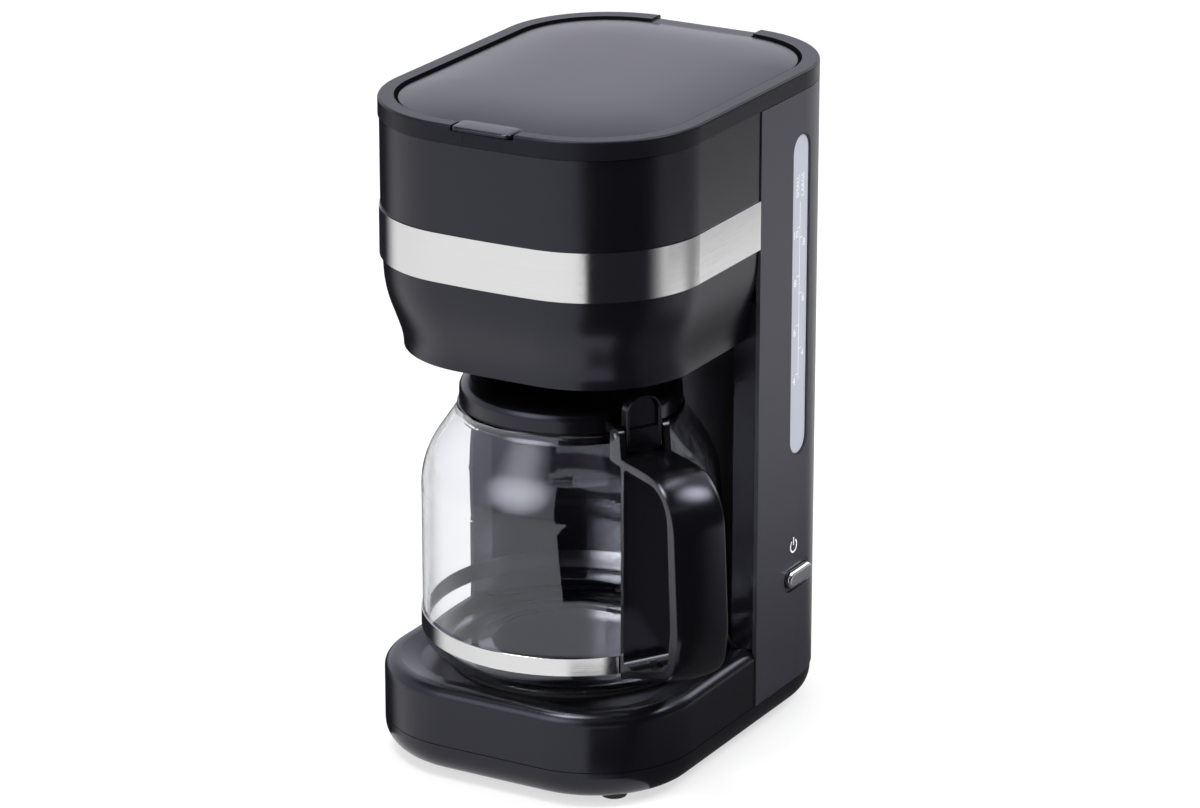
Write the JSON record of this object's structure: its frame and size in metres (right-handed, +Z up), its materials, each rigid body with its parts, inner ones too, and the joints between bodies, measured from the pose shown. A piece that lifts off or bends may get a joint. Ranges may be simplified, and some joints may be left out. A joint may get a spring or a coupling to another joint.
{
  "type": "drip coffee maker",
  "caption": "Upright drip coffee maker with a glass jug on a hot plate, a filter head with a steel band, a water tank with a level window and a hinged lid.",
  "frame": {"origin": "on the table, under the middle of the casing width, 118.3 mm behind the front of the head", "axes": "+X to the right seen from the front, +Y to the back, +Z up"},
  "size_m": [0.2192, 0.2474, 0.3662],
  "materials": {
    "black_plastic": "satin black moulded plastic",
    "gloss_black": "polished black plastic",
    "steel": "brushed stainless steel",
    "bright_steel": "satin chrome",
    "glass": "clear heat-proof glass",
    "window": "milky translucent plastic",
    "tank_plastic": "translucent plastic",
    "rubber": "black rubber",
    "silicone": "white silicone hose",
    "aluminium": "cast aluminium",
    "zinc_steel": "zinc-plated steel",
    "plate_coat": "black non-stick coating",
    "mesh": "fine nylon mesh"
  },
  "bodies": {
    "body": {"base_shell": "black_plastic", "bottom_cover": "black_plastic", "feet": "rubber", "bottom_screws": "zinc_steel", "column_front": "black_plastic", "head_shell": "black_plastic", "steel_band": "steel", "rear_housing": "black_plastic", "top_rim": "black_plastic", "water_tank": "tank_plastic", "level_window": "window", "riser_tube": "tank_plastic", "check_valve": "tank_plastic", "riser_hose": "silicone", "inlet_hose": "silicone", "hot_plate": "plate_coat", "plate_seal": "rubber", "heater_tube": "aluminium", "heater_clamp": "zinc_steel", "clamp_bolt": "zinc_steel", "thermostat": "zinc_steel", "thermal_fuse": "zinc_steel", "switch_body": "black_plastic", "cord_gland": "rubber"},
    "lid": {"lid": "black_plastic", "lid_liner": "black_plastic", "lid_hinge_pin": "zinc_steel"},
    "button": {"power_button": "bright_steel"},
    "basket": {"filter_basket": "black_plastic", "mesh_filter": "mesh"},
    "jug": {"carafe_glass": "glass", "carafe_band": "steel", "handle_frame": "gloss_black", "handle_cover": "gloss_black", "handle_screw": "zinc_steel", "carafe_lid_pin": "zinc_steel"},
    "jug_lid": {"carafe_lid": "gloss_black"}
  },
  "joints": [
    {"name": "lid_hinge", "type": "hinge", "parent": "body", "child": "lid", "pos_m": [0, 0.1192, 0.3586], "axis": [-1, 0, 0], "range_deg": [0, 95]},
    {"name": "button_press", "type": "slide", "parent": "body", "child": "button", "axis": [-1, 0, 0], "range_m": [0, 0.002], "stiffness_N_per_m": 400},
    {"name": "basket_lift", "type": "slide", "parent": "body", "child": "basket", "axis": [0, 0, 1], "range_m": [0, 0.018]},
    {"name": "jug_slide", "type": "slide", "parent": "body", "child": "jug", "axis": [0, -1, 0], "range_m": [0, 0.2]},
    {"name": "jug_lid_hinge", "type": "hinge", "parent": "jug", "child": "jug_lid", "pos_m": [0.06316, -0.06656, 0.1974], "axis": [0.521, 0.8536, 0], "range_deg": [0, 15]}
  ]
}
